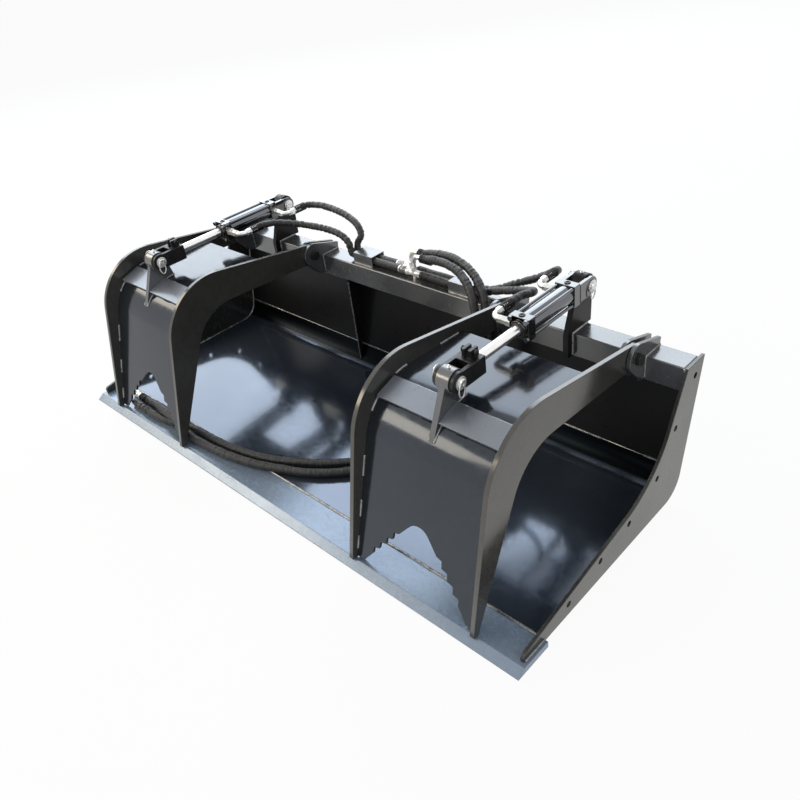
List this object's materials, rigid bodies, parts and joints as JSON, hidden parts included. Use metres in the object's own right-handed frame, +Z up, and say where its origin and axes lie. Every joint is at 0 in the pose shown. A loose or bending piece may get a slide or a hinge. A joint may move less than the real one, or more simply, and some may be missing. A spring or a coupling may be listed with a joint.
{
  "type": "skid steer grapple bucket",
  "caption": "Loader bucket with two toothed hydraulic grapple claws that swing down onto the cutting edge to clamp a load.",
  "frame": {"origin": "centre of the bounding box on the ground, under the bucket", "axes": "+X across the bucket towards its right end, -Y towards the cutting edge, +Z up"},
  "size_m": [2.032, 0.8938, 0.621],
  "materials": {
    "paint": "gloss",
    "skin_paint": "gloss",
    "floor_paint": "gloss",
    "edge_paint": "gloss",
    "black_paint": "gloss",
    "black_steel": "satin",
    "zinc": "satin",
    "chrome": "gloss",
    "rubber": "matte",
    "sleeve": "matte",
    "weld": "satin"
  },
  "bodies": {
    "bucket": {"cutting_edge": "edge_paint", "floor_sheet": "floor_paint", "back_sheet": "floor_paint", "side_plate_left": "paint", "side_plate_right": "paint", "top_tube": "paint", "tube_gussets": "paint", "wear_bars": "paint", "mast_left": "paint", "mast_right": "paint", "ears_left": "paint", "ears_right": "paint", "pivot_pins_left": "zinc", "pivot_pins_right": "zinc", "hose_guards": "paint", "tee_blocks": "zinc", "swan_tubes": "zinc", "straight_hoses": "rubber", "left_base_hose": "sleeve", "left_rod_hose": "sleeve", "right_base_hose": "sleeve", "right_rod_hose": "sleeve", "supply_hose_rear": "sleeve", "supply_hose_front": "sleeve", "silver_coupler": "zinc", "capped_coupler": "black_steel", "attach_plate": "paint", "attach_hook": "paint", "attach_foot_flange": "paint", "attach_ribs": "paint"},
    "left_grapple": {"left_claw_outer": "paint", "left_claw_inner": "paint", "left_skin": "skin_paint", "left_shoulder_bar": "skin_paint", "left_lug": "paint"},
    "left_cylinder": {"left_barrel": "black_paint", "left_front_head": "black_paint", "left_base_cap": "black_paint", "left_tie_rods": "black_paint", "left_ports": "zinc", "left_mast_pin": "zinc"},
    "left_piston_rod": {"left_rod": "chrome", "left_clevis": "black_paint", "left_clamp_bolt": "zinc", "left_rod_pin": "zinc"},
    "right_grapple": {"right_claw_outer": "paint", "right_claw_inner": "paint", "right_skin": "skin_paint", "right_shoulder_bar": "skin_paint", "right_lug": "paint"},
    "right_cylinder": {"right_barrel": "black_paint", "right_front_head": "black_paint", "right_base_cap": "black_paint", "right_tie_rods": "black_paint", "right_ports": "zinc", "right_mast_pin": "zinc"},
    "right_piston_rod": {"right_rod": "chrome", "right_clevis": "black_paint", "right_clamp_bolt": "zinc", "right_rod_pin": "zinc"}
  },
  "joints": [
    {"name": "left_grapple_hinge", "type": "hinge", "parent": "bucket", "child": "left_grapple", "pos_m": [-0.65, 0.28113, 0.457], "axis": [-1, 0, 0], "range_deg": [0, 50]},
    {"name": "left_cylinder_hinge", "type": "hinge", "parent": "bucket", "child": "left_cylinder", "pos_m": [-0.676, 0.37813, 0.574], "axis": [-1, 0, 0], "range_deg": [0, 45], "deforming": ["left_base_hose", "left_rod_hose"]},
    {"name": "left_rod_slide", "type": "slide", "parent": "left_cylinder", "child": "left_piston_rod", "axis": [0, 1, 0], "range_m": [0, 0.1225]},
    {"name": "right_grapple_hinge", "type": "hinge", "parent": "bucket", "child": "right_grapple", "pos_m": [0.65, 0.28113, 0.457], "axis": [-1, 0, 0], "range_deg": [0, 50]},
    {"name": "right_cylinder_hinge", "type": "hinge", "parent": "bucket", "child": "right_cylinder", "pos_m": [0.65, 0.37813, 0.574], "axis": [-1, 0, 0], "range_deg": [0, 45], "deforming": ["right_base_hose", "right_rod_hose"]},
    {"name": "right_rod_slide", "type": "slide", "parent": "right_cylinder", "child": "right_piston_rod", "axis": [0, 1, 0], "range_m": [0, 0.1225]}
  ],
  "couplings": [
    {"joint": "left_cylinder_hinge", "follows": "left_grapple_hinge", "ratio": 0.896},
    {"joint": "left_rod_slide", "follows": "left_grapple_hinge", "m_per_rad": 0.14},
    {"joint": "right_cylinder_hinge", "follows": "right_grapple_hinge", "ratio": 0.896},
    {"joint": "right_rod_slide", "follows": "right_grapple_hinge", "m_per_rad": 0.14}
  ]
}
